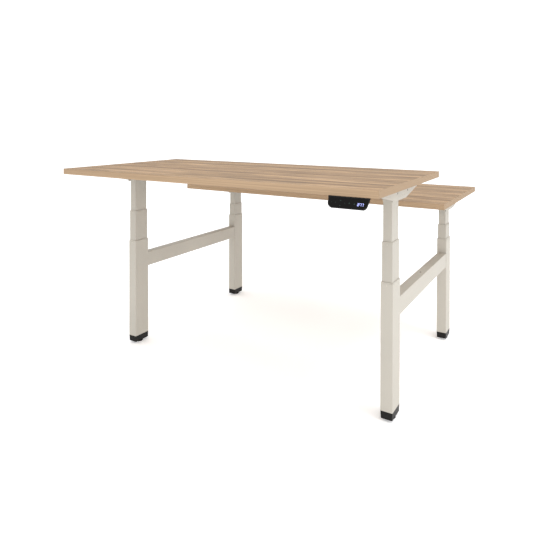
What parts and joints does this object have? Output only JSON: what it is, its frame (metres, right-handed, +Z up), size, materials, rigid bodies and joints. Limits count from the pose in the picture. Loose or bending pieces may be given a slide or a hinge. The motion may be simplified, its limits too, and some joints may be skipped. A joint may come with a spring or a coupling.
{
  "type": "height adjustable standing desk",
  "caption": "Back-to-back electric sit-stand desks on H-shaped side frames, with nested telescopic columns, wood decor tops and edge handsets.",
  "frame": {"origin": "on the floor, in the middle of the object's box, between the two desktops", "axes": "+Z up; +X to the right of the person at the front desk; +Y from the front desk to the back desk"},
  "size_m": [1.4, 1.7476, 0.877],
  "materials": {
    "oak_decor_board": "matt oak decor on a melamine-faced board, straight grain along X, matching edge band",
    "white_powder_coat": "warm white powder coat, fine satin texture, on steel",
    "guide_collar": "matt plastic in the frame's colour",
    "black_plastic": "matt moulded plastic",
    "bare_steel": "rolled steel screw, greased",
    "motor_paint": "black electrocoat",
    "case_plastic": "fine-textured moulded plastic",
    "gloss_black": "high gloss front with lit touch symbols and digits"
  },
  "bodies": {
    "base": {"left_side_beam": "white_powder_coat", "right_side_beam": "white_powder_coat", "front_left_outer_tube": "white_powder_coat", "front_left_outer_collar": "guide_collar", "front_left_foot_cap": "black_plastic", "front_right_outer_tube": "white_powder_coat", "front_right_outer_collar": "guide_collar", "front_right_foot_cap": "black_plastic", "back_left_outer_tube": "white_powder_coat", "back_left_outer_collar": "guide_collar", "back_left_foot_cap": "black_plastic", "back_right_outer_tube": "white_powder_coat", "back_right_outer_collar": "guide_collar", "back_right_foot_cap": "black_plastic"},
    "front_desk": {"front_desktop": "oak_decor_board", "front_near_rail": "white_powder_coat", "front_far_rail": "white_powder_coat", "front_control_box": "case_plastic", "front_mains_inlet": "black_plastic", "front_handset_housing": "case_plastic", "front_handset_panel": "gloss_black", "front_left_arm": "white_powder_coat", "front_left_inner_tube": "white_powder_coat", "front_left_gear_motor": "motor_paint", "front_left_spindle": "bare_steel", "front_right_arm": "white_powder_coat", "front_right_inner_tube": "white_powder_coat", "front_right_gear_motor": "motor_paint", "front_right_spindle": "bare_steel"},
    "back_desk": {"back_desktop": "oak_decor_board", "back_near_rail": "white_powder_coat", "back_far_rail": "white_powder_coat", "back_control_box": "case_plastic", "back_mains_inlet": "black_plastic", "back_handset_housing": "case_plastic", "back_handset_panel": "gloss_black", "back_left_arm": "white_powder_coat", "back_left_inner_tube": "white_powder_coat", "back_left_gear_motor": "motor_paint", "back_left_spindle": "bare_steel", "back_right_arm": "white_powder_coat", "back_right_inner_tube": "white_powder_coat", "back_right_gear_motor": "motor_paint", "back_right_spindle": "bare_steel"},
    "front_left_stage": {"front_left_middle_tube": "white_powder_coat", "front_left_middle_collar": "guide_collar", "front_left_hollow_spindle": "bare_steel"},
    "front_left_glide": {"front_left_glide": "black_plastic"},
    "front_right_stage": {"front_right_middle_tube": "white_powder_coat", "front_right_middle_collar": "guide_collar", "front_right_hollow_spindle": "bare_steel"},
    "front_right_glide": {"front_right_glide": "black_plastic"},
    "back_left_stage": {"back_left_middle_tube": "white_powder_coat", "back_left_middle_collar": "guide_collar", "back_left_hollow_spindle": "bare_steel"},
    "back_left_glide": {"back_left_glide": "black_plastic"},
    "back_right_stage": {"back_right_middle_tube": "white_powder_coat", "back_right_middle_collar": "guide_collar", "back_right_hollow_spindle": "bare_steel"},
    "back_right_glide": {"back_right_glide": "black_plastic"}
  },
  "joints": [
    {"name": "front_lift", "type": "slide", "parent": "base", "child": "front_desk", "axis": [0, 0, 1], "range_m": [-0.257, 0.393]},
    {"name": "back_lift", "type": "slide", "parent": "base", "child": "back_desk", "axis": [0, 0, 1], "range_m": [-0.105, 0.545]},
    {"name": "front_left_stage_slide", "type": "slide", "parent": "base", "child": "front_left_stage", "axis": [0, 0, 1], "range_m": [-0.1285, 0.1965]},
    {"name": "front_right_stage_slide", "type": "slide", "parent": "base", "child": "front_right_stage", "axis": [0, 0, 1], "range_m": [-0.1285, 0.1965]},
    {"name": "back_left_stage_slide", "type": "slide", "parent": "base", "child": "back_left_stage", "axis": [0, 0, 1], "range_m": [-0.0525, 0.2725]},
    {"name": "back_right_stage_slide", "type": "slide", "parent": "base", "child": "back_right_stage", "axis": [0, 0, 1], "range_m": [-0.0525, 0.2725]},
    {"name": "front_left_glide_turn", "type": "hinge", "parent": "base", "child": "front_left_glide", "pos_m": [-0.6182, -0.4515, 0], "axis": [0, 0, 1], "continuous": true},
    {"name": "front_right_glide_turn", "type": "hinge", "parent": "base", "child": "front_right_glide", "pos_m": [0.6182, -0.4515, 0], "axis": [0, 0, 1], "continuous": true},
    {"name": "back_left_glide_turn", "type": "hinge", "parent": "base", "child": "back_left_glide", "pos_m": [-0.6182, 0.4515, 0], "axis": [0, 0, 1], "continuous": true},
    {"name": "back_right_glide_turn", "type": "hinge", "parent": "base", "child": "back_right_glide", "pos_m": [0.6182, 0.4515, 0], "axis": [0, 0, 1], "continuous": true}
  ],
  "couplings": [
    {"joint": "front_left_stage_slide", "follows": "front_lift", "ratio": 0.5},
    {"joint": "front_right_stage_slide", "follows": "front_lift", "ratio": 0.5},
    {"joint": "back_left_stage_slide", "follows": "back_lift", "ratio": 0.5},
    {"joint": "back_right_stage_slide", "follows": "back_lift", "ratio": 0.5}
  ]
}
